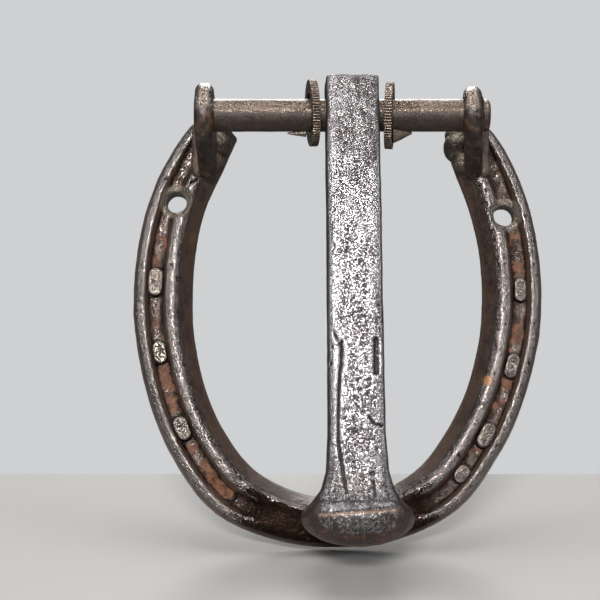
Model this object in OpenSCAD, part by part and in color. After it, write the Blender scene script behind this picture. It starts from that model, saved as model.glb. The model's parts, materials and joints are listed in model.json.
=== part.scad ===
// Horseshoe door knocker: a fullered horseshoe back plate, two welded ears, a round pivot bar with
// two reeded washers, and a railroad spike that swings on the bar and strikes the toe of the shoe.
// Frame: the flat back lies on y = 0 and the front faces -Y, +Z points up to the heels, and the
// origin is on the back face at the middle of the toe. Millimetres.

/* [Shoe] */
// Thickness of the shoe, from its flat back to the crests beside the crease
shoe_t = 9.5; // [8:0.5:11]
// Depth of the nail crease
crease_d = 2.6; // [1.5:0.1:3.5]
// Width of the crease floor
crease_w = 4.2; // [3.6:0.1:4.6]
// How far the inner wall slopes in from the back edge to the front face
bevel_w = 3.8; // [2:0.1:4.4]

/* [Mounting holes] */
// Radius of the two screw holes
screw_r = 3; // [2:0.1:3.4]
// Radius of the countersinks at the front face
sink_r = 5.1; // [4:0.1:5.6]
// Depth of the countersinks
sink_d = 2.7; // [1:0.1:3]

/* [Pivot] */
// Diameter of the pivot bar
bar_d = 9.52; // [8:0.01:10]
// Distance from the shoe's front face to the axis of the bar
bar_stand = 19; // [18:0.5:24]
// Height of the bar's axis above the middle of the toe
bar_z = 116.6; // [114:0.1:118]
// Radial clearance between the bar and the spike's bore
bore_play = 0.08; // [0.02:0.01:0.1]
// Thickness of each ear
ear_t = 5.5; // [4:0.5:7]
// Radius of the left ear's rounded end, about the bar
ear_left_r = 9.4; // [8.5:0.1:11]
// Radius of the right ear's rounded end, about the bar
ear_right_r = 8.4; // [8:0.1:11]
// Bevel worn along the edges of each ear
ear_bevel = 1.4; // [0.5:0.1:2]

/* [Washers] */
// Diameter over the reeded edge
washer_d = 19.4; // [18:0.1:21]
// Thickness of each washer
washer_t = 2.3; // [1.8:0.1:2.4]
// Radius of the hole in each washer
washer_hole_r = 5.9; // [5.2:0.1:6.4]
// Number of reeds round the edge
reeds = 72; // [40:4:96]

/* [Spike] */
// Width of the spike's square shank
shank_w = 15.9; // [14:0.1:16]
// Height of the cut end above the bar's axis
spike_top = 10.1; // [8:0.1:11]
// Width of the spike's head
head_w = 31.9; // [28:0.1:34]
// Sideways offset of the shank from the middle of the shoe, at the bar
spike_x = 3.8; // [2:0.1:4]
// Lean of the shank, its foot to +X, because the bore was drilled a little off square
spike_lean = 0.45; // [0:0.05:0.8]

/* [Hidden] */
eps = 0.01;
strike_gap = 0.3;
bar_r = bar_d / 2;
bar_y = -shoe_t - bar_stand;

// Centre line of the web from the left heel, round the toe, to the right heel, and its width there.
// The two branches differ a little, as they do on a hand-fitted shoe.
web_line = [
    [-35.6, 120.5], [-41.6, 111.1], [-48.2, 96.9], [-51.6, 82], [-52.6, 67],
    [-51.5, 52.9], [-47.6, 36.6], [-41.1, 22.3], [-30.7, 9.2], [-15.1, 1.8],
    [0, 0], [15, 2], [29.9, 10.1], [39.9, 23], [46.8, 36.9], [51.3, 53],
    [52.7, 67], [52, 82], [48.7, 97], [42.8, 111.6], [37.9, 121.3]
];
web = [
    12.8, 16.2, 16.9, 17.6, 18, 17.6, 17.4, 17.5, 17.5, 15.6,
    14.8, 15.2, 16.9, 17, 17.2, 17.6, 17.9, 17.8, 17.6, 16.2, 11
];
heel = (len(web_line) - 1) / 2;
ring_step = 0.2;

// Where each thing sits along a branch, in steps of the centre line's points.
crease_start = 1.3;
crease_full = 1.9;
crease_offset = 1.9;
nails_left_at = [6.27, 4.83, 3.42];
nails_right_at = [6.12, 4.58, 3.24, 2.42];
choked_hole_left_at = 2.14;
choked_hole_long = 9;
choked_hole_wide = 4;
choked_hole_seat = 5.9;

// Nail heads: length along the crease, width across it, and how deep the head's top lies.
heads_left = [[8, 4, 0.3], [6.4, 3.7, 0.9], [7, 4, 0.6]];
heads_right = [[6.8, 3.3, 1], [7.2, 3.6, 0.8], [7.4, 3.8, 0.6], [5.2, 3.7, 0.9]];
nail_seat = 5;
nail_shank = [4.6, 2.4];
nail_gap = 0.12;
nail_back = 0.4;

screw_right = [50.5, 91.8];
screw_left = [-48.7, 95.8];

// Ears: the middle of each plate at the bar, and the angles by which the left and right foot splay out.
ear_x = 38.9;
splay_left = 0.5;
splay_right = 6.7;
ear_foot = [101.6, 123.4];
ear_root = 3;
ear_play = 0.03;
bar_end = [-41.5, 43.7];
bar_chamfer = 0.8;

// Washers: the centre's place along the bar, its height over the bar's axis, the lean and the turn.
place_left = [-7.6, 0.7, 3.5, 6];
place_right = [14.7, -0.1, -2.7, -5.9];
reed_depth = 0.35;
tack_below = 0.2;
tack_behind = 1.4;
tack_left = [-9.4, -15, 1.2];
tack_right = [15.6, 21.4, 3.2];
tack_tip_r = 0.3;

// Weld beads outside the ears: radius, and the lowest and highest point of each.
outer_bead_r = 1.8;
bead_root = 0.6;
outer_bead_z = [104.5, 118];
// Weld puddles inside the ears, each made of rounded lumps: centre and radius.
puddle_left = [[-36.8, -7.2, 113.4, 4.7], [-37.4, -8, 109, 3.4]];
puddle_right = [[37.4, -7, 112.8, 4.9], [38.4, -8, 108.4, 3.5], [36.8, -5.8, 116.6, 3.6]];

// Spike: height, half width, front and back reach from the shank's middle, and squareness.
// The corner of the head is its widest level, and everything below that is the domed end.
corner_z = 1.2;
foot_z = -6.7;
half = shank_w / 2;
head_half = head_w / 2;
lip = bar_stand - strike_gap;
front_lip = 12;
spike_levels = [
    [bar_z + spike_top, half - 0.6, half - 0.5, half - 0.5, 10],
    [bar_z + spike_top - 0.5, half - 0.2, half, half, 11],
    [60, half, half, half, 9],
    [24, half + 0.1, half + 0.1, half, 9],
    [14, half + 0.7, half + 0.5, half + 0.6, 8],
    [9, half + 2.2, half + 1, half + 2.4, 6],
    [5.6, half + 4.7, half + 1.8, half + 5.6, 4.5],
    [3.9, half + 6.6, front_lip - 0.9, lip - 2.8, 3.6],
    [2.7, head_half - 0.6, front_lip, lip - 0.6, 3],
    [corner_z, head_half, front_lip, lip, 2.8]
];
dome_steps = 5;
dome_levels = [
    for (k = [1 : dome_steps])
        let (a = 84 * k / dome_steps)
        [
            corner_z - (corner_z - foot_z) * sin(a) / sin(84),
            head_half * cos(a),
            front_lip * (0.35 + 0.65 * cos(a)),
            lip * (0.35 + 0.65 * cos(a)),
            2.6
        ]
];
spike_sides = 28;

// ---- curves ----

// One value of a smooth curve through the numbers or points of a list, at a place counted in steps.
function smooth(list, t) =
    let (
        i = max(0, min(floor(t), len(list) - 2)),
        f = t - i,
        b = list[i],
        c = list[i + 1],
        a = i > 0 ? list[i - 1] : 2 * b - c,
        d = i + 2 < len(list) ? list[i + 2] : 2 * c - b
    )
    0.5 * (2 * b + f * (c - a) + f * f * (2 * a - 5 * b + 4 * c - d)
        + f * f * f * (3 * b - a - 3 * c + d));

function ramp(t, from, to) =
    let (f = max(0, min(1, (t - from) / (to - from))))
    f * f * (3 - 2 * f);

// Centre line at u, where u runs from -heel at the left heel, through 0 at the toe, to +heel.
function centre(u) = smooth(web_line, u + heel);
function tangent(u) =
    let (d = centre(min(u + 0.05, heel)) - centre(max(u - 0.05, -heel)))
    d / norm(d);
function outward(u) =
    let (t = tangent(u))
    [t[1], -t[0]];
function crease_at(u) = ramp(abs(u), crease_start, crease_full) * (1 - 0.55 * ramp(abs(u), 7.8, 9.4));

// ---- shoe ----

// Outline of the web cut across, as [across, y]: -w is the inner edge and +w the outer one.
function web_section(w, crease) =
    let (
        s = w / 8.9,
        floor_y = -shoe_t + crease_d * crease,
        mid = crease_offset * s,
        half_floor = crease_w / 2 * s
    )
    [
        [-w + 0.7, 0],
        [-w, -0.8],
        [-w + 0.3, -3],
        [-w + bevel_w * s, -shoe_t + 1],
        [-w + (bevel_w + 1) * s, -shoe_t + 0.2],
        [-w + (bevel_w + 2) * s, -shoe_t],
        [mid - half_floor - 0.9 * s, -shoe_t + 0.3 * crease],
        [mid - half_floor, floor_y],
        [mid + half_floor, floor_y],
        [mid + half_floor + 0.7 * s, -shoe_t + 0.25 * crease],
        [5.7 * s, -shoe_t],
        [7.4 * s, -shoe_t + 0.8],
        [w - 0.3, -shoe_t + 2.7],
        [w, -shoe_t + 5],
        [w - 0.1, -0.9],
        [w - 0.8, 0]
    ];

function shoe_ring(u) =
    let (
        c = centre(u),
        n = outward(u),
        section = web_section(smooth(web, u + heel) / 2, crease_at(u))
    )
    [for (p = section) [c[0] + n[0] * p[0], p[1], c[1] + n[1] * p[0]]];

// A closed solid through a list of rings with the same number of points.
module loft(rings) {
    n = len(rings[0]);
    last = len(rings) - 1;
    points = [for (r = rings) for (p = r) p];
    walls = [
        for (k = [0 : last - 1])
            for (i = [0 : n - 1])
                let (j = (i + 1) % n, a = k * n + i, b = k * n + j)
                each [[a, b, b + n], [a, b + n, a + n]]
    ];
    start_cap = [[for (i = [n - 1 : -1 : 0]) i]];
    end_cap = [[for (i = [0 : n - 1]) last * n + i]];
    polyhedron(points = points, faces = concat(walls, start_cap, end_cap), convexity = 8);
}

// Stands its children on the crease at u, with X along the branch, Y across it and Z out of the face.
module on_crease(u) {
    c = centre(u) + outward(u) * crease_offset;
    t = tangent(u);
    translate([c[0], 0, c[1]])
        rotate([0, -atan2(t[1], t[0]), 0])
            rotate([90, 0, 0])
                children();
}

// A block with round ends, as a nail head or its seat: length, width, and lowest and highest level.
module round_ended(length, width, low, high) {
    translate([0, 0, low])
        linear_extrude(high - low)
            union() {
                square([length - width, width], center = true);
                for (side = [-1, 1])
                    translate([side * (length - width) / 2, 0])
                        circle(d = width, $fn = 40);
            }
}

module nail_pocket(u, head) {
    on_crease(u) {
        round_ended(head[0] + 2 * nail_gap, head[1] + 2 * nail_gap, nail_seat, shoe_t + 1);
        translate([0, 0, nail_seat / 2])
            cube([nail_shank[0] + 2 * nail_gap, nail_shank[1] + 2 * nail_gap, nail_seat + 2], center = true);
    }
}

// A nail hole with no nail, choked with rust, so that only a shallow pocket is left of it.
module choked_nail_hole(u) {
    on_crease(u) round_ended(choked_hole_long, choked_hole_wide, choked_hole_seat, shoe_t + 1);
}

module screw_hole(at) {
    translate([at[0], 1, at[1]])
        rotate([90, 0, 0])
            cylinder(r = screw_r, h = shoe_t + 2, $fn = 64);
    translate([at[0], -shoe_t + sink_d, at[1]])
        rotate([90, 0, 0])
            cylinder(r1 = screw_r, r2 = screw_r + (sink_r - screw_r) * (sink_d + 1) / sink_d,
                h = sink_d + 1, $fn = 64);
}

module horseshoe() {
    color([0.2, 0.17, 0.15])
        difference() {
            loft([for (u = [-heel : ring_step : heel + eps]) shoe_ring(min(u, heel))]);
            for (i = [0 : 2]) nail_pocket(-nails_left_at[i], heads_left[i]);
            for (i = [0 : 3]) nail_pocket(nails_right_at[i], heads_right[i]);
            choked_nail_hole(-choked_hole_left_at);
            screw_hole(screw_left);
            screw_hole(screw_right);
        }
}

// ---- nails ----

module nail(u, head) {
    color([0.62, 0.6, 0.58])
        on_crease(u) {
            round_ended(head[0], head[1], nail_seat, shoe_t - head[2]);
            translate([0, 0, (nail_seat + nail_back) / 2])
                cube([nail_shank[0], nail_shank[1], nail_seat - nail_back + eps], center = true);
        }
}

module nail_left_1() nail(-nails_left_at[0], heads_left[0]);
module nail_left_2() nail(-nails_left_at[1], heads_left[1]);
module nail_left_3() nail(-nails_left_at[2], heads_left[2]);
module nail_right_1() nail(nails_right_at[0], heads_right[0]);
module nail_right_2() nail(nails_right_at[1], heads_right[1]);
module nail_right_3() nail(nails_right_at[2], heads_right[2]);
module nail_right_4() nail(nails_right_at[3], heads_right[3]);

// ---- ears and bar ----

// The point where a line from p touches a circle, on the side given as -1 or 1. All are [y, z].
function touch(p, c, r, side) =
    let (
        d = c - p,
        dist = norm(d),
        a = atan2(d[1], d[0]) + side * asin(r / dist),
        run = sqrt(dist * dist - r * r)
    )
    p + run * [cos(a), sin(a)];

// An ear seen from the side, with its edge drawn in by the given inset. It runs on into the shoe by
// ear_root, and that root is cut off afterwards.
module ear_outline(end_r, inset) {
    axis = [bar_y, bar_z];
    r = end_r - inset;
    low = [-shoe_t + ear_root, ear_foot[0] + inset];
    high = [-shoe_t + ear_root, ear_foot[1] - inset];
    polygon([low, high, touch(high, axis, r, -1), axis, touch(low, axis, r, 1)]);
    translate(axis) circle(r = r, $fn = 64);
}

// The plate of an ear with bevelled edges, lying in the Y-Z plane and centred on x = 0.
module ear_plate(end_r) {
    rotate([90, 0, 90])
        hull() {
            linear_extrude(ear_t, center = true) ear_outline(end_r, ear_bevel);
            linear_extrude(ear_t - 2 * ear_bevel, center = true) ear_outline(end_r, 0);
        }
}

// An ear's plate is cut off flat on the shoe's face, and its bore is true to the bar at any splay.
module ear(side, splay, end_r) {
    color([0.24, 0.19, 0.16])
        difference() {
            translate([side * ear_x, bar_y, 0])
                rotate([0, 0, -side * splay])
                    translate([0, -bar_y, 0])
                        ear_plate(end_r);
            translate([side * ear_x - 2 * ear_t, bar_y, bar_z])
                rotate([0, 90, 0])
                    cylinder(r = bar_r + ear_play, h = 4 * ear_t, $fn = 64);
            translate([side * ear_x - 2 * ear_t, -shoe_t, ear_foot[0] - 1])
                cube([4 * ear_t, shoe_t, ear_foot[1] - ear_foot[0] + 2]);
        }
}

module ear_left() ear(-1, splay_left, ear_left_r);
module ear_right() ear(1, splay_right, ear_right_r);

module pivot_bar() {
    color([0.42, 0.33, 0.26])
        translate([bar_end[0], bar_y, bar_z])
            rotate([0, 90, 0])
                rotate_extrude($fn = 64)
                    polygon([
                        [0, 0],
                        [bar_r - bar_chamfer / 2, 0],
                        [bar_r, bar_chamfer / 2],
                        [bar_r, bar_end[1] - bar_end[0] - bar_chamfer],
                        [bar_r - bar_chamfer, bar_end[1] - bar_end[0]],
                        [0, bar_end[1] - bar_end[0]]
                    ]);
}

// ---- washers ----

module washer_disc() {
    r = washer_d / 2;
    rotate([0, 90, 0])
        difference() {
            linear_extrude(washer_t, center = true)
                polygon([
                    for (k = [0 : reeds - 1])
                        for (e = [[-0.25, r], [0.05, r], [0.25, r - reed_depth], [0.55, r - reed_depth]])
                            let (a = (k + e[0]) * 360 / reeds)
                            [e[1] * cos(a), e[1] * sin(a)]
                ]);
            cylinder(r = washer_hole_r, h = washer_t + 2, center = true, $fn = 64);
        }
}

module washer(place) {
    color([0.44, 0.37, 0.32])
        translate([place[0], bar_y, bar_z + place[1]])
            rotate([0, 0, place[3]])
                rotate([0, -place[2], 0])
                    washer_disc();
}

module washer_left() washer(place_left);
module washer_right() washer(place_right);

// A drop of weld under the bar that holds a washer. It tapers away along the bar: x at the washer,
// x at its tip, and its radius at the washer.
module washer_tack(tack) {
    color([0.3, 0.28, 0.27])
        translate([tack[0], bar_y + tack_behind, bar_z - bar_r - tack_below])
            rotate([0, tack[1] > tack[0] ? 90 : -90, 0])
                cylinder(r1 = tack[2], r2 = tack_tip_r, h = abs(tack[1] - tack[0]), $fn = 48);
}

module washer_tack_left() washer_tack(tack_left);
module washer_tack_right() washer_tack(tack_right);

// ---- welds ----

// How far from x = 0 the middle of an ear's foot lies.
function foot_x(splay) = ear_x + bar_stand * tan(splay);

// A straight run of weld along the outer side of an ear's foot.
module weld_bead(side, splay) {
    color([0.36, 0.33, 0.31])
        translate([side * (foot_x(splay) + ear_t / 2 + bead_root), -shoe_t + bead_root, 0]) {
            translate([0, 0, outer_bead_z[0]])
                cylinder(r = outer_bead_r, h = outer_bead_z[1] - outer_bead_z[0], $fn = 32);
            for (z = outer_bead_z) translate([0, 0, z]) sphere(r = outer_bead_r, $fn = 32);
        }
}

// Lumps of weld on the inner side of an ear's foot, ending inside the ear's plate.
module weld_puddle(side, splay, lumps) {
    color([0.36, 0.33, 0.31])
        intersection() {
            for (lump = lumps) translate([lump[0], lump[1], lump[2]]) sphere(r = lump[3], $fn = 48);
            translate([side * foot_x(splay) / 2, -shoe_t, bar_z])
                cube([foot_x(splay), 2 * bar_stand, 2 * bar_stand], center = true);
        }
}

module weld_left_inner() weld_puddle(-1, splay_left, puddle_left);
module weld_left_outer() weld_bead(-1, splay_left);
module weld_right_inner() weld_puddle(1, splay_right, puddle_right);
module weld_right_outer() weld_bead(1, splay_right);

// ---- spike ----

// One ring of the spike, a rounded rectangle of the given squareness about the shank's middle.
function spike_ring(level) =
    let (
        z = level[0],
        power = 2 / level[4],
        shift = spike_x + (bar_z - z) * tan(spike_lean)
    )
    [
        for (k = [0 : spike_sides - 1])
            let (
                a = (k + 0.5) * 360 / spike_sides,
                reach = sin(a) < 0 ? level[2] : level[3]
            )
            [
                shift + level[1] * sign(cos(a)) * pow(abs(cos(a)), power),
                bar_y + reach * sign(sin(a)) * pow(abs(sin(a)), power),
                z
            ]
    ];

module spike_striker() {
    color([0.6, 0.59, 0.6])
        difference() {
            loft([for (level = concat(spike_levels, dome_levels)) spike_ring(level)]);
            translate([spike_x - shank_w, bar_y, bar_z])
                rotate([0, 90, 0])
                    cylinder(r = bar_r + bore_play, h = 2 * shank_w, $fn = 64);
        }
}

horseshoe();
ear_left();
ear_right();
pivot_bar();
washer_left();
washer_right();
washer_tack_left();
washer_tack_right();
spike_striker();
nail_left_1();
nail_left_2();
nail_left_3();
nail_right_1();
nail_right_2();
nail_right_3();
nail_right_4();
weld_left_inner();
weld_left_outer();
weld_right_inner();
weld_right_outer();
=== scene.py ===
"""Looks of a horseshoe door knocker: worn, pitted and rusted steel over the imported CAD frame.

Each visible piece is an even mesh grown from its CAD node, with its edges worn round by smoothing and
its surface carved by functions of place. All lengths inside the helpers are millimetres.
"""

import json
import math

import bmesh
import bpy
import numpy as np
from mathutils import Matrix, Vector


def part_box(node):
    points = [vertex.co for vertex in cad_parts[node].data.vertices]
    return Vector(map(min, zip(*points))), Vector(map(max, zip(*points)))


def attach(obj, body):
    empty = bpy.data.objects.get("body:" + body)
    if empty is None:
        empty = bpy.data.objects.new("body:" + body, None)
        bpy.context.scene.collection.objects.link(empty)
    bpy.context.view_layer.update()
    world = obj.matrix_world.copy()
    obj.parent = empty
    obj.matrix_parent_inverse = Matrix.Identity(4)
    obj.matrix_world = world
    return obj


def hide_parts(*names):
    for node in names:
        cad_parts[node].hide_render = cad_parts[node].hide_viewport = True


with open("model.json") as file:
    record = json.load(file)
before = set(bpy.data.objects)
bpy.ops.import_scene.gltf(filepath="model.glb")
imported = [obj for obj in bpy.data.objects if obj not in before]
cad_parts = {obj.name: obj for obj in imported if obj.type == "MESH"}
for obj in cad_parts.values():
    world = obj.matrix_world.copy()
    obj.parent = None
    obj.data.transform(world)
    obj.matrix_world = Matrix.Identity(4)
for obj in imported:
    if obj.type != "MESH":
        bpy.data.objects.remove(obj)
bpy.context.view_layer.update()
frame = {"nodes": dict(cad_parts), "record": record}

MM = 0.001


def box_mm(node):
    """A CAD node's lowest and highest corners in millimetres."""
    return tuple(np.array(corner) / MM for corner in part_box(node))


SHOE_LOW, SHOE_HIGH = box_mm("horseshoe")
SPIKE_LOW, SPIKE_HIGH = box_mm("spike_striker")
SHOE_FRONT = SHOE_LOW[1]
BAR = np.array(frame["record"]["behaviour"]["joints"][0]["pos_m"]) / MM
LEAN = math.radians(23)


# ---- arrays and noise ----

def step(value, low, high):
    """0 below low, 1 above high and smooth between; low may be above high."""
    f = np.clip((value - low) / (high - low), 0, 1)
    return f * f * (3 - 2 * f)


def lattice(cell, seed):
    """A repeatable random number from -1 to 1 for each whole-numbered cell."""
    h = cell[:, 0] * 73856093 ^ cell[:, 1] * 19349663 ^ cell[:, 2] * 83492791 ^ (seed * 6542989 + 12345)
    h = (h ^ (h >> 13)) * 1274126177
    return ((h ^ (h >> 16)) & 0xFFFF) / 32768 - 1


def noise(at, size, seed):
    """Smooth noise from -1 to 1 with features about size across; size may differ along x, y and z."""
    q = at / np.asarray(size, float) + 31.7 * seed
    cell = np.floor(q).astype(np.int64)
    f = q - cell
    f = f * f * (3 - 2 * f)
    total = np.zeros(len(at))
    for corner in np.ndindex(2, 2, 2):
        weight = np.prod(np.where(corner, f, 1 - f), axis=1)
        total += weight * lattice(cell + np.array(corner), seed)
    return total


def worms(at, size, seed):
    """Winding grooves: 1 along the middle of each, 0 between them."""
    return 1 - step(np.abs(noise(at, size, seed)), 0.02, 0.3)


# ---- pieces grown from CAD nodes ----

def vertices(piece):
    """Places in millimetres and normals of a piece's vertices."""
    mesh = piece.data
    at = np.empty(len(mesh.vertices) * 3, np.float32)
    normal = np.empty_like(at)
    mesh.vertices.foreach_get("co", at)
    mesh.vertex_normals.foreach_get("vector", normal)
    return at.reshape(-1, 3).astype(float) / MM, normal.reshape(-1, 3).astype(float)


def spread(piece, values, passes):
    """Values on the vertices, one number or three each, averaged with their neighbours so many times."""
    mesh = piece.data
    ends = np.empty(len(mesh.edges) * 2, np.int32)
    mesh.edges.foreach_get("vertices", ends)
    a, b = ends[0::2], ends[1::2]
    here, there = np.concatenate([a, b]), np.concatenate([b, a])
    count = np.maximum(np.bincount(here, minlength=len(mesh.vertices)), 1)
    columns = np.atleast_2d(values.T)
    for _ in range(passes):
        sums = [np.bincount(here, c[there], minlength=len(count)) for c in columns]
        columns = np.array([(c + s) / (1 + count) for c, s in zip(columns, sums)])
    return columns.T if values.ndim > 1 else columns[0]


def mark(piece, name, values):
    """Writes a number for each vertex, which the piece's material reads by name."""
    layer = piece.data.attributes.new(name, "FLOAT", "POINT")
    layer.data.foreach_set("value", values.astype(np.float32))


def mark_crests(piece, raised=0):
    """Marks how far each vertex stands proud of the surface round it, in tenths of a millimetre.

    raised is added to that: below 0 it paints a place as dark steel, as painted shade.
    """
    at, normal = vertices(piece)
    mark(piece, "crest_and_shade", ((at - spread(piece, at, 10)) * normal).sum(axis=1) * 10 + raised)


def baked(piece):
    """Applies a piece's modifiers."""
    shown = piece.evaluated_get(bpy.context.evaluated_depsgraph_get())
    mesh = bpy.data.meshes.new_from_object(shown)
    piece.modifiers.clear()
    piece.data = mesh
    mesh.shade_smooth()
    return piece


def even(piece, pitch, rounding):
    """Remeshes a piece into squares of that pitch, then wears its edges round."""
    remesh = piece.modifiers.new("Even", "REMESH")
    remesh.mode = "VOXEL"
    remesh.voxel_size = pitch * MM
    worn = piece.modifiers.new("Worn", "SMOOTH")
    worn.factor = 0.5
    worn.iterations = rounding
    return baked(piece)


def put(piece, at):
    """Puts a piece's vertices at places given in millimetres."""
    piece.data.vertices.foreach_set("co", (at * MM).astype(np.float32).ravel())
    piece.data.update()


def carve(piece, shape, low, high):
    """Moves each vertex along its normal by shape(at, normal), and keeps it between two corners."""
    at, normal = vertices(piece)
    put(piece, np.clip(at + normal * shape(at, normal)[:, None], low, high))


def piece_from(name, mesh_data):
    """An object of its own for a bmesh."""
    mesh = bpy.data.meshes.new(name)
    mesh_data.to_mesh(mesh)
    mesh_data.free()
    piece = bpy.data.objects.new(name, mesh)
    bpy.context.scene.collection.objects.link(piece)
    return piece


def grown(node, name, pitch, rounding, add=None):
    """A piece that starts as a copy of a CAD node. add(bm) may put more in before the remesh joins it."""
    bm = bmesh.new()
    bm.from_mesh(frame["nodes"][node].data)
    bmesh.ops.remove_doubles(bm, verts=bm.verts, dist=1e-6)
    if add:
        add(bm)
    return even(piece_from(name, bm), pitch, rounding)


def stand_for(piece, node, body, material):
    """Puts a finished piece in a CAD node's place."""
    piece.data.materials.clear()
    piece.data.materials.append(material)
    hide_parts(node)
    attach(piece, body)


# ---- materials ----

class Shader:
    """A material's node tree, with short ways to add the nodes that these metals use."""

    def __init__(self, name):
        self.material = bpy.data.materials.new(name)
        self.material.use_nodes = True
        self.tree = self.material.node_tree
        self.surface = self.tree.nodes["Principled BSDF"]
        scaled = self.add("VectorMath", operation="SCALE")
        self.tree.links.new(self.add("TexCoord").outputs["Object"], scaled.inputs[0])
        scaled.inputs["Scale"].default_value = 1 / MM
        self.place = scaled.outputs[0]

    def add(self, kind, **settings):
        node = self.tree.nodes.new("ShaderNode" + kind)
        for key, value in settings.items():
            setattr(node, key, value)
        return node

    def plug(self, socket, value):
        if isinstance(value, bpy.types.NodeSocket):
            self.tree.links.new(value, socket)
        else:
            socket.default_value = value

    def marked(self, name):
        return self.add("Attribute", attribute_name=name).outputs["Fac"]

    def noise(self, size, detail, rough, stretch=None):
        """Noise from 0 to 1 with features about size millimetres across, stretched along x, y or z."""
        node = self.add("TexNoise")
        place = self.place
        if stretch:
            squeeze = self.add("VectorMath", operation="DIVIDE")
            self.plug(squeeze.inputs[0], place)
            squeeze.inputs[1].default_value = stretch
            place = squeeze.outputs[0]
        self.plug(node.inputs["Vector"], place)
        node.inputs["Scale"].default_value = 1 / size
        node.inputs["Detail"].default_value = detail
        node.inputs["Roughness"].default_value = rough
        return node.outputs["Fac"]

    def math(self, operation, a, b=0.0, c=0.0):
        node = self.add("Math", operation=operation)
        for socket, value in zip(node.inputs, (a, b, c)):
            self.plug(socket, value)
        return node.outputs[0]

    def ramp(self, value, low, high, to_low=0.0, to_high=1.0):
        """value taken smoothly from between low and high to between to_low and to_high."""
        node = self.add("MapRange", interpolation_type="SMOOTHSTEP")
        for socket, v in zip(node.inputs, (value, low, high, to_low, to_high)):
            self.plug(socket, v)
        return node.outputs[0]

    def mix(self, share, a, b):
        """Colour a where share is 0 and b where it is 1."""
        node = self.add("Mix", data_type="RGBA")
        for socket, value in zip((node.inputs[0], node.inputs[6], node.inputs[7]), (share, a, b)):
            self.plug(socket, value)
        return node.outputs[2]

    def bump(self, height, depth, normal=None):
        """A bump whose height runs from 0 to 1 over depth millimetres."""
        node = self.add("Bump")
        self.plug(node.inputs["Height"], height)
        node.inputs["Distance"].default_value = depth * MM
        if normal:
            self.plug(node.inputs["Normal"], normal)
        return node.outputs[0]

    def finish(self, colour, roughness, metallic, normal):
        for name, value in zip(
            ("Base Color", "Roughness", "Metallic", "Normal"), (colour, roughness, metallic, normal)
        ):
            self.plug(self.surface.inputs[name], value)
        return self.material


def rgb(red, green, blue):
    """A colour given as it looks on screen, from 0 to 255, as linear light."""
    return tuple((v / 255) ** 2.2 for v in (red, green, blue)) + (1.0,)


PATINA_DARK = rgb(38, 26, 19)
PATINA_LIGHT = rgb(88, 71, 62)
RUST_DARK = rgb(66, 43, 31)
RUST_LIGHT = rgb(116, 76, 53)
BARE_DARK = rgb(98, 90, 82)
BARE_LIGHT = rgb(132, 124, 114)
TAN = rgb(150, 112, 78)
RING_PITCH = 0.62
RING_DEPTH = 0.09


def steel(name, dark, bright, fine, depth, gloss, chance=0.0, grain=None, oxide=None):
    """Old steel: dark, brighter on what stands proud, with the marks that the mesh carries.

    fine is the size of its speckle and depth the speckle's relief, in millimetres; gloss is the
    roughness of bright and of dark steel; chance is how much rust comes by chance; grain stretches
    the mottling along x, y or z; oxide is a pair of colours for the brown oxide. The marks are crest
    (how far a place stands proud, lowered where steel is painted dark as shade), patina (brown
    oxide, and on some pieces painted shade), pale (how light that oxide is), rust, bare (freshly cut),
    tan and radius (distance from a hole's axis, for the rings that its cutter left).
    """
    s = Shader(name)
    speckle = s.noise(fine, 1.5, 0.6)
    blotch = s.noise(fine * 5, 4.0, 0.65)
    mottle = s.noise(fine * 8, 4.0, 0.6, grain)
    patches = s.noise(fine * 20, 5.0, 0.62)
    patina_and_shade, rust, bare, tan = (s.marked(mark_name) for mark_name in ("patina_and_shade", "rust", "bare", "tan"))

    # Bright steel, where it stands proud and no oxide covers it; on some pieces the crest and patina marks
    # also carry painted shade.
    uneven = s.math("ADD", speckle, s.ramp(mottle, 0.3, 0.7, -0.08, 0.08))
    proud = s.math("MULTIPLY_ADD", s.marked("crest_and_shade"), 0.2, uneven)
    worn = s.math("MULTIPLY", s.ramp(proud, 0.42, 0.60), s.math("MULTIPLY_ADD", patina_and_shade, -0.9, 1.0))
    colour = s.mix(worn, dark, bright)

    # Brown oxide, in two shades, also laid where the patina mark stands for painted shade.
    shade = s.math("MULTIPLY_ADD", s.ramp(blotch, 0.35, 0.65, -1.0, 1.0), 0.25, s.marked("pale"))
    skin = s.mix(shade, *(oxide or (PATINA_DARK, PATINA_LIGHT)))
    colour = s.mix(s.math("MULTIPLY", patina_and_shade, s.ramp(uneven, 0.3, 0.75, 1.0, 0.8)), colour, skin)

    # Rust, by chance and where it is marked, with ragged edges.
    stained = s.math("MULTIPLY", s.ramp(patches, 0.50, 0.66), chance)
    ragged = s.math("MULTIPLY_ADD", rust, 0.45, blotch)
    rusty = s.math("MAXIMUM", stained, s.math("MULTIPLY", rust, s.ramp(ragged, 0.62, 0.95)))
    colour = s.mix(rusty, colour, s.mix(s.ramp(blotch, 0.35, 0.65), RUST_DARK, RUST_LIGHT))

    # Cut steel and stains.
    colour = s.mix(bare, colour, s.mix(speckle, BARE_DARK, BARE_LIGHT))
    colour = s.mix(tan, colour, TAN)

    roughness = s.ramp(worn, 0.0, 1.0, gloss[1], gloss[0])
    roughness = s.math("ADD", roughness, s.math("MULTIPLY", rusty, 0.35))
    dull = s.math("MAXIMUM", patina_and_shade, s.math("MAXIMUM", rusty, tan))
    metallic = s.math("SUBTRACT", 1.0, s.math("MULTIPLY", dull, 0.95))

    relief = s.math("MULTIPLY", s.ramp(speckle, 0.36, 0.62), s.math("MULTIPLY_ADD", patina_and_shade, -0.6, 1.0))
    normal = s.bump(relief, depth)
    normal = s.bump(blotch, depth * 1.5, normal)
    ring = s.math("SINE", s.math("MULTIPLY", s.marked("radius"), 2 * math.pi / RING_PITCH))
    normal = s.bump(s.math("MULTIPLY", ring, s.math("MULTIPLY", bare, 0.5)), RING_DEPTH, normal)
    return s.finish(colour, roughness, metallic, normal)


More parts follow.
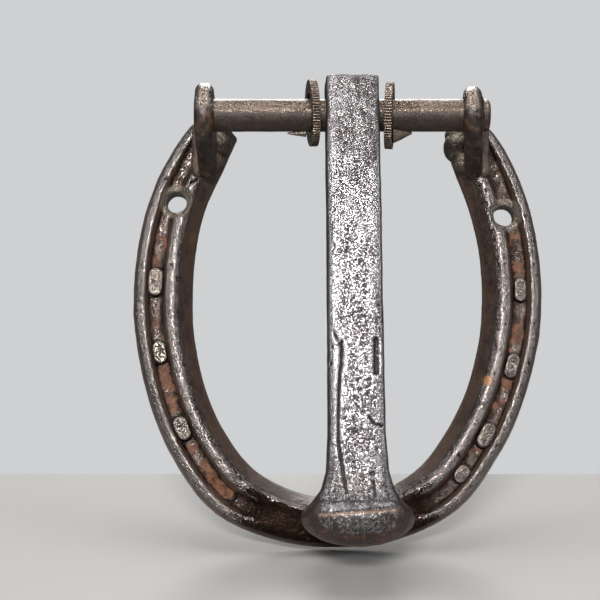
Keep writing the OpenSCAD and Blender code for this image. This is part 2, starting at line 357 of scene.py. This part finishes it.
SHOE_STEEL = steel(
    "ShoeSteel", dark=rgb(34, 27, 23), bright=rgb(120, 114, 111),
    fine=0.40, depth=0.11, gloss=(0.20, 0.30), chance=0.12,
)
EAR_STEEL = steel(
    "EarSteel", dark=rgb(50, 41, 34), bright=rgb(126, 116, 108),
    fine=0.45, depth=0.08, gloss=(0.23, 0.36), chance=0.1,
    oxide=(rgb(28, 19, 13), rgb(74, 58, 48)),
)
BAR_STEEL = steel(
    "BarSteel", dark=rgb(60, 48, 40), bright=rgb(126, 114, 104),
    fine=0.36, depth=0.10, gloss=(0.28, 0.40), chance=0.2, grain=(5, 1, 1),
)
WASHER_METAL = steel(
    "WasherMetal", dark=rgb(62, 52, 46), bright=rgb(112, 102, 94),
    fine=0.3, depth=0.02, gloss=(0.28, 0.40), chance=0.1,
)
WELD_STEEL = steel(
    "WeldSteel", dark=rgb(80, 72, 64), bright=rgb(118, 110, 100),
    fine=0.5, depth=0.06, gloss=(0.42, 0.52), chance=0.25,
)
NAIL_STEEL = steel(
    "NailSteel", dark=rgb(52, 47, 44), bright=rgb(104, 98, 93),
    fine=0.36, depth=0.07, gloss=(0.25, 0.38), chance=0.05,
)
SPIKE_STEEL = steel(
    "SpikeSteel", dark=rgb(48, 45, 46), bright=rgb(134, 132, 134),
    fine=0.36, depth=0.05, gloss=(0.24, 0.42), grain=(1, 1, 3),
    oxide=(rgb(32, 18, 10), rgb(66, 41, 25)),
)


# ---- carving tools ----

def groove(at, path, width, depth):
    """A groove in the front face along a path of (x, z) points; width is from its middle to its edge."""
    place = at[:, [0, 2]]
    nearest = np.full(len(at), 1e9)
    for start, end in zip(np.array(path[:-1], float), np.array(path[1:], float)):
        run = end - start
        share = np.clip(((place - start) @ run) / (run @ run), 0, 1)
        nearest = np.minimum(nearest, np.linalg.norm(place - start - share[:, None] * run, axis=1))
    return -depth * step(nearest, width, 0.25 * width)


def dent(at, x, z, half_x, half_z, depth):
    """An oval dent in the front face."""
    r = np.hypot((at[:, 0] - x) / half_x, (at[:, 2] - z) / half_z)
    return -depth * step(r, 1.0, 0.4)


def grooves(at, paths):
    """Grooves given as (path, width, depth)."""
    return sum(groove(at, *each) for each in paths)


def dents(at, ovals):
    """Dents given as (x, z, half_x, half_z, depth)."""
    return sum(dent(at, *each) for each in ovals)


def distance(at, place):
    """Distance from a place given as (x, z), seen from the front."""
    return np.hypot(at[:, 0] - place[0], at[:, 2] - place[1])


def facing(normal):
    """1 where a surface faces the front, 0 where it faces a side."""
    return step(-normal[:, 1], 0.35, 0.8)


# ---- shoe ----

SCREW_HOLES = [m for m in frame["record"]["mounts"] if m["kind"] == "bore"]
COUNTERSINK_R = 5.1

# Where the web has its marks, as (x, z) seen from the front.
TAN_SPOT = (44.1, 41.4)
CHOKED_HOLE = (-34.2, 11.6)
SAND = (-42.5, 83.5)
SHOE_NICKS = [
    ([(-51.9, 102.5), (-49.9, 102.2)], 0.8, 0.5),
    ([(-44.4, 101.4), (-42.6, 102.2)], 0.8, 0.5),
    ([(35.3, 19.6), (38.6, 15.9)], 0.5, 0.45),
]
SHOE_DENTS = [(-53.5, 76, 1.6, 3.0, 0.25), (51, 52, 1.4, 2.6, 0.2)]

# The toe is part of a ring about a centre this far above its middle, and slopes back over this width.
TOE_CENTRE = 50
TOE_SLOPE = 14
TOE_THINNING = 0.13


def toe_distance(at):
    """Distance from the middle of the toe, which reaches further sideways than upwards."""
    return np.hypot(at[:, 0], at[:, 2] * 1.3)


def thinned_toe(at):
    """Thins the shoe towards its outer edge at the toe, where its front face slopes back."""
    outwards = distance(at, (0, TOE_CENTRE)) - TOE_CENTRE + TOE_SLOPE
    slope = np.clip(outwards / TOE_SLOPE, 0, 1) * step(toe_distance(at), 38, 22)
    thin = at.copy()
    thin[:, 1] *= 1 - TOE_THINNING * slope
    return thin


def shoe_shape(at, normal):
    """Forged and worn: broad hammer waves, small pits, a rough crease, nicks and a few dents."""
    front_half = 0.3 + 0.7 * step(-at[:, 1], 3.0, 7.0)
    waves = 0.16 * noise(at, 11, 1) + 0.12 * noise(at, 4, 2)
    pits = -0.12 * step(noise(at, 1.5, 3), 0.3, 0.85) * facing(normal)
    grain = 0.07 * noise(at, 1.0, 4)
    nicks = grooves(at, SHOE_NICKS) + dents(at, SHOE_DENTS)
    forged = 0.05 * noise(at, (1.6, 1.6, 2.4), 10) * step(normal[:, 1], 0.3, 0.8)
    return front_half * (waves + pits + grain) + facing(normal) * nicks + forged - 0.12


def crease_floor(shoe, at, normal):
    """1 on the floor of the crease, where the nails sit."""
    below_face = step(at[:, 1], SHOE_FRONT + 0.7, SHOE_FRONT + 1.8)
    outside = step(-normal[:, 1], 0.6, 0.9) * step(at[:, 1], -2.0, -4.0)
    return spread(shoe, below_face * outside, 5)


def screw_hole_distance(at):
    """Distance from the axis of the nearer screw hole."""
    places = [np.array(m["pos_m"]) / MM for m in SCREW_HOLES]
    return np.minimum(*(distance(at, (p[0], p[2])) for p in places))


def mark_shoe(shoe, at, normal):
    """Brown walls and back, a toe painted as dark steel for painted shade, a rusty crease and cut screw
    holes, by places before carving.
    """
    crease = crease_floor(shoe, at, normal)
    from_toe = toe_distance(at)
    toe = step(from_toe, 36, 22) * step(-at[:, 1], 2.0, 5.0)
    wall = step(-normal[:, 1], 0.75, 0.45) * step(at[:, 1], 0.0, -1.0)
    back = 0.7 * step(normal[:, 1], 0.5, 0.8)

    streaks = step(noise(at, (0.7, 3, 5), 5), -0.2, 0.6)
    grime = crease * (0.25 + 0.4 * streaks) * (1 - toe)
    mottle = 1.0 + 0.4 * noise(at, 3.5, 8)
    mark(shoe, "patina_and_shade", np.clip(back + 0.9 * wall + grime, 0, 1))
    mark(shoe, "pale", np.clip((mottle * wall + crease) * (1 - toe), 0, 1.2))

    patchy = step(noise(at, 3.2, 6) + 0.5 * noise(at, 1.4, 7), -0.35, 0.3)
    low_down = step(at[:, 2], 90, 84) * step(from_toe, 31, 36)
    choked = step(distance(at, CHOKED_HOLE), 5.6, 4.2)
    mark(shoe, "rust", crease * np.maximum(0.95 * patchy * low_down, 1.4 * choked))

    radius = screw_hole_distance(at)
    cut_seat = step(radius, COUNTERSINK_R + 0.2, COUNTERSINK_R - 0.3)
    mark(shoe, "radius", radius)
    mark(shoe, "bare", cut_seat * step(-at[:, 1], 3.5, 5.5))

    spot = step(distance(at, TAN_SPOT), 1.7, 1.2)
    sand = 0.4 * step(distance(at, SAND) + noise(at, 1.2, 9), 4.0, 2.0)
    sand *= step(radius, COUNTERSINK_R, COUNTERSINK_R + 0.3)
    mark(shoe, "tan", np.maximum(spot, sand) * facing(normal))

    # Painted shade: the toe is painted as dark steel, standing for shade and a dark reflection, apart from
    # a painted highlight along its upper edge, where it faces up.
    painted_glint = toe * step(normal[:, 2], 0.15, 0.4) * (1 - wall)
    mark_crests(shoe, -2.0 * toe * (1 - painted_glint))


def build_shoe():
    shoe = grown("horseshoe", "shoe", pitch=0.465, rounding=11)
    at, normal = vertices(shoe)
    put(shoe, thinned_toe(at))
    carve(shoe, shoe_shape, SHOE_LOW, SHOE_HIGH)
    mark_shoe(shoe, at, normal)
    stand_for(shoe, "horseshoe", "back_plate", SHOE_STEEL)


# ---- spike ----

SHANK_LEAN = math.tan(math.radians(0.45))

# The bright front of the head: its middle and half its width, and the heights of its ledge and foot.
PANEL = {"middle": 4.6, "half": 10.4, "ledge": 2.5, "slope": 0.076, "foot": -3.4, "sag": 2.4}

# Seams and dents of the front, as (x, z) seen from the front.
SPIKE_SEAMS = [
    ([(0.3, 49.5), (-0.6, 35), (-0.8, 22), (0.4, 14), (1.4, 8)], 0.55, 0.35),
    ([(-1.9, 52), (0.6, 47), (0.2, 42)], 0.5, 0.25),
    ([(7.7, 28.7), (9.4, 26.6), (11.4, 26.2)], 0.5, 0.3),
    ([(8.8, 11), (9.2, 7)], 0.5, 0.3),
    ([(9.9, 50), (9.8, 41)], 1.3, 0.5),
]
SPIKE_DENTS = [(-3.4, 43.3, 1.4, 0.9, 0.6), (8.4, 13.2, 1.1, 0.8, 0.3)]


def ledge_height(x):
    """Height of the ledge across the front of the spike's head."""
    return PANEL["ledge"] + PANEL["slope"] * (x - PANEL["middle"])


def ledge_groove(at):
    """The groove just above the ledge."""
    ends = (PANEL["middle"] - PANEL["half"], PANEL["middle"] + PANEL["half"])
    return groove(at, [(x, ledge_height(x) + 0.8) for x in ends], 0.8, 0.25)


def spike_shape(at, normal):
    """Wire-brushed and pitted on the front, smoother at the sides."""
    front = facing(normal)
    waves = 0.12 * noise(at, (6, 6, 12), 11) + 0.07 * noise(at, 2.6, 12)
    brushed = -0.05 * worms(at, (0.9, 0.9, 1.3), 13) - 0.06 * step(noise(at, 0.9, 14), 0.2, 0.7)
    scars = grooves(at, SPIKE_SEAMS) + dents(at, SPIKE_DENTS) + ledge_groove(at)
    return waves + (0.3 + 0.7 * front) * brushed + front * scars - 0.06


def bright_front(at, normal):
    """1 on the bright front of the spike, with a ragged border on the head."""
    across = np.abs(at[:, 0] - BAR[0] - (BAR[2] - at[:, 2]) * SHANK_LEAN)
    ragged = 0.7 * noise(at, 1.3, 15) + 0.4 * noise(at, 0.5, 16)
    foot = PANEL["foot"] + PANEL["sag"] * (across / PANEL["half"]) ** 2
    front = step(-normal[:, 1], 0.25, 0.6)
    front *= step(across + ragged * step(at[:, 2], 8, 3), PANEL["half"] + 0.7, PANEL["half"] - 0.5)
    return front * step(at[:, 2] + ragged, foot - 0.8, foot + 0.8)


def mark_spike(spike):
    """A bright front, pitted at its foot and darkened towards its top and its lower end by painted shade,
    with brown sides and a little rust on the head's rim.
    """
    at, normal = vertices(spike)
    front = bright_front(at, normal)
    over_ledge = at[:, 2] - ledge_height(at[:, 0])
    top = step(at[:, 2], SPIKE_HIGH[2] - 0.6, SPIKE_HIGH[2] - 0.25)

    pitted = step(noise(at, 0.7, 17), -0.3, 0.5)
    # Painted shade: the front is darkened towards its top, and towards its lower end partly as pitting and
    # partly as painted shade; below the ledge the darkening is pitting.
    dark = 0.25 * step(at[:, 2], 92, 112)
    dark += 0.4 * step(at[:, 2], 32, 8) * (0.4 + pitted)
    dark += 0.4 * pitted * front * step(over_ledge, 0.4, -0.4)
    mark(spike, "patina_and_shade", np.clip(0.95 * (1 - front) + dark + top, 0, 1))
    mark(spike, "rust", (0.3 * step(at[:, 2], 1, -3) + 0.2 * step(at[:, 2], 8, 3)) * (1 - front))

    rim = step(at[:, 1], SPIKE_LOW[1] + 2.5, SPIKE_LOW[1] + 1.2) * step(at[:, 0], 8, 6)
    ridge = step(np.abs(over_ledge), 0.7, 0.2) * front
    mark(spike, "tan", np.maximum(0.5 * top * rim, 0.3 * ridge))
    mark_crests(spike)


def build_spike():
    spike = grown("spike_striker", "spike", pitch=0.34, rounding=3)
    carve(spike, spike_shape, SPIKE_LOW, SPIKE_HIGH)
    mark_spike(spike)
    stand_for(spike, "spike_striker", "striker", SPIKE_STEEL)


# ---- ears, bar, washers, nails and welds ----

EAR_PLUG_R = 5.4
EAR_PLUG_INSET = 0.3
EAR_BORE_REACH = 5.2


def worn_shape(size, depth, seed, swell=0.0):
    """A plain worn surface: waves of that size and depth, with smaller pits, all raised by swell."""

    def shape(at, normal):
        pits = -step(noise(at, size * 0.4, seed + 1), 0.2, 0.8)
        return swell + depth * (noise(at, size, seed) + 0.7 * pits - 0.6)

    return shape


def fill_bore(bm, low, high):
    """Closes an ear's bore, because the bar is welded in and no gap shows."""
    made = bmesh.ops.create_cone(
        bm, cap_ends=True, segments=64, radius1=EAR_PLUG_R, radius2=EAR_PLUG_R, depth=high - low
    )
    for v in made["verts"]:
        v.co = Vector((v.co.z + (low + high) / 2, v.co.x + BAR[1], v.co.y + BAR[2])) * MM


def ear_faces(node):
    """x of an ear's two faces at the bar, from its own vertices near the bore."""
    mesh = frame["nodes"][node].data
    places = [np.array(v.co) / MM for v in mesh.vertices]
    near = [p[0] for p in places if math.hypot(p[1] - BAR[1], p[2] - BAR[2]) < EAR_BORE_REACH]
    return min(near), max(near)


def mark_ear(ear):
    """Bright at its top above the bar, a painted highlight; lighter at its foot; dark brown with small tan
    spots between them, which is oxide and painted shade.
    """
    at, _ = vertices(ear)
    height = at[:, 2] - BAR[2]
    forward = BAR[1] - at[:, 1]
    # Painted highlight: bright steel on the top above the bar stands for light from above; below it the
    # brown is oxide and painted shade.
    bright = step(height, -1.5, 1.0) * step(forward, 1, 5)
    foot = step(height, -7.5, -9) * step(forward, 2, 5)
    spots = step(noise(at, 1.6, 22), 0.25, 0.6)
    mark(ear, "patina_and_shade", np.clip(1.0 - bright - 0.6 * foot - 0.35 * spots, 0, 1))
    mark(ear, "rust", 0.35 * (1 - bright) * (1 - foot))
    mark(ear, "tan", 0.15 * spots * (1 - bright) * (1 - foot))
    mark_crests(ear)


def build_ear(side):
    node = "ear_" + side
    low, high = box_mm(node)
    left, right = ear_faces(node)

    def plug(bm):
        fill_bore(bm, left + EAR_PLUG_INSET, right - EAR_PLUG_INSET)

    ear = grown(node, "ear_plate_" + side, pitch=0.38, rounding=22, add=plug)
    carve(ear, worn_shape(4, 0.1, 21), low, high)
    mark_ear(ear)
    stand_for(ear, node, "back_plate", EAR_STEEL)


def build_plain(node, name, material, pitch, rounding, shape, marks=None, inside=None):
    """A piece that only needs its CAD shape worn.

    marks(at, normal) gives its marks by name, and inside is the node whose box it stays in, if not its own.
    """
    low, high = box_mm(inside or node)
    piece = grown(node, name, pitch, rounding)
    carve(piece, shape, low, high)
    for key, values in (marks(*vertices(piece)) if marks else {}).items():
        mark(piece, key, values)
    mark_crests(piece)
    stand_for(piece, node, "back_plate", material)


def brown_all_over(at, normal):
    """Brown all over."""
    return {"patina_and_shade": np.full(len(at), 0.9), "pale": np.full(len(at), 0.3)}


def underside_painted_shade(at, normal):
    """Painted shade and a painted brown reflection along its underside."""
    return {"patina_and_shade": 0.9 * step(normal[:, 2], 0.15, -0.25)}


def build_side(side):
    """The ear, washer, tack and welds of one side."""
    build_ear(side)
    build_plain("washer_" + side, "reeded_washer_" + side, WASHER_METAL, 0.17, 2, worn_shape(2, 0.02, 31))
    build_plain("washer_tack_" + side, "tack_" + side, WELD_STEEL, 0.25, 3, worn_shape(2, 0.1, 41))
    inner, outer = f"weld_{side}_inner", f"weld_{side}_outer"
    build_plain(inner, "puddle_" + side, WELD_STEEL, 0.28, 30, worn_shape(2.2, 0.2, 43, swell=0.3))
    build_plain(outer, "bead_" + side, WELD_STEEL, 0.28, 8, worn_shape(2.2, 0.2, 43), brown_all_over)


def build_rest():
    for side in ("left", "right"):
        build_side(side)
    build_plain("pivot_bar", "bar", BAR_STEEL, 0.3, 2, worn_shape(3, 0.04, 51), underside_painted_shade)
    for node in frame["nodes"]:
        if node.startswith("nail_"):
            name = node.replace("nail_", "nail_head_")
            shape = worn_shape(1.6, 0.06, 61, swell=0.2)
            build_plain(node, name, NAIL_STEEL, 0.2, 6, shape, inside="horseshoe")


# ---- camera, floor and light ----

def direction(azimuth, elevation):
    """Unit vector from the object; azimuth 0 is its front, +90 its right, and elevation is upwards."""
    a, e = math.radians(azimuth), math.radians(elevation)
    return Vector((math.sin(a) * math.cos(e), -math.cos(a) * math.cos(e), math.sin(e)))


MIDDLE = Vector((SHOE_LOW + SHOE_HIGH) / 2) * MM
CAMERA_BELOW = 9
CAMERA_DISTANCE = 0.417
CAMERA_SHIFT = Vector((-11.3, -4.7, 7.1)) * MM
FLOOR_HALF = 0.5
FLOOR_FORWARD = 0.44


def build_camera():
    """The camera looks up at the shoe from a little below its middle."""
    data = bpy.data.cameras.new("Camera")
    data.sensor_width = 36
    data.lens = 84
    data.clip_start = 0.01
    camera = bpy.data.objects.new("Camera", data)
    camera.location = MIDDLE + CAMERA_SHIFT + direction(0, -CAMERA_BELOW) * CAMERA_DISTANCE
    camera.rotation_euler = (math.radians(90 + CAMERA_BELOW), 0, 0)
    bpy.context.scene.collection.objects.link(camera)
    bpy.context.scene.camera = camera


def build_floor():
    """The knocker leans back, so in its own frame the floor slopes down towards the front."""
    bm = bmesh.new()
    bmesh.ops.create_grid(bm, x_segments=8, y_segments=8, size=FLOOR_HALF)
    floor = piece_from("floor", bm)
    floor.rotation_euler = (LEAN, 0, 0)
    forward = Vector((0, -math.cos(LEAN), -math.sin(LEAN)))
    floor.location = Vector((0, 0, SHOE_LOW[2] * MM)) + forward * FLOOR_FORWARD
    material = bpy.data.materials.new("FloorPaint")
    material.use_nodes = True
    surface = material.node_tree.nodes["Principled BSDF"]
    surface.inputs["Base Color"].default_value = (0.30, 0.295, 0.285, 1)
    surface.inputs["Roughness"].default_value = 0.7
    floor.data.materials.append(material)


def softbox(name, azimuth, elevation, distance, size, power, colour):
    """A lamp that faces the middle of the shoe; size is its width and height in metres."""
    data = bpy.data.lights.new(name, "AREA")
    data.shape = "RECTANGLE"
    data.size, data.size_y = size
    data.energy = power
    data.color = colour
    lamp = bpy.data.objects.new(name, data)
    lamp.location = MIDDLE + direction(azimuth, elevation) * distance
    lamp.rotation_euler = direction(azimuth, elevation).to_track_quat("Z", "Y").to_euler()
    bpy.context.scene.collection.objects.link(lamp)


def build_light():
    warm, plain, cool = (1.0, 0.98, 0.96), (0.98, 0.98, 1.0), (0.95, 0.97, 1.0)
    softbox("Key", -4, 10, 1.1, (0.32, 0.13), 13, warm)
    softbox("Overhead", 0, 72, 0.9, (0.9, 0.5), 7, plain)
    softbox("Left", -62, 20, 1.0, (0.25, 0.8), 3, cool)
    softbox("Right", 62, 20, 1.0, (0.25, 0.8), 3, cool)
    softbox("Back", 180, 48, 1.4, (0.5, 0.5), 10, (1.0, 0.99, 0.97))
    build_room()


def build_room():
    """A dim room that lights the object, behind a pale backdrop that only the camera sees."""
    world = bpy.data.worlds.new("Studio")
    world.use_nodes = True
    nodes, links = world.node_tree.nodes, world.node_tree.links
    room = nodes["Background"]
    room.inputs["Color"].default_value = (0.12, 0.115, 0.11, 1)
    backdrop = nodes.new("ShaderNodeBackground")
    backdrop.inputs["Color"].default_value = (0.62, 0.63, 0.64, 1)
    chosen = nodes.new("ShaderNodeMixShader")
    light_path = nodes.new("ShaderNodeLightPath")
    links.new(light_path.outputs["Is Camera Ray"], chosen.inputs[0])
    links.new(room.outputs[0], chosen.inputs[1])
    links.new(backdrop.outputs[0], chosen.inputs[2])
    links.new(chosen.outputs[0], nodes["World Output"].inputs["Surface"])
    bpy.context.scene.world = world
    bpy.context.scene.view_settings.view_transform = "Standard"


build_shoe()
build_spike()
build_rest()
build_camera()
build_floor()
build_light()
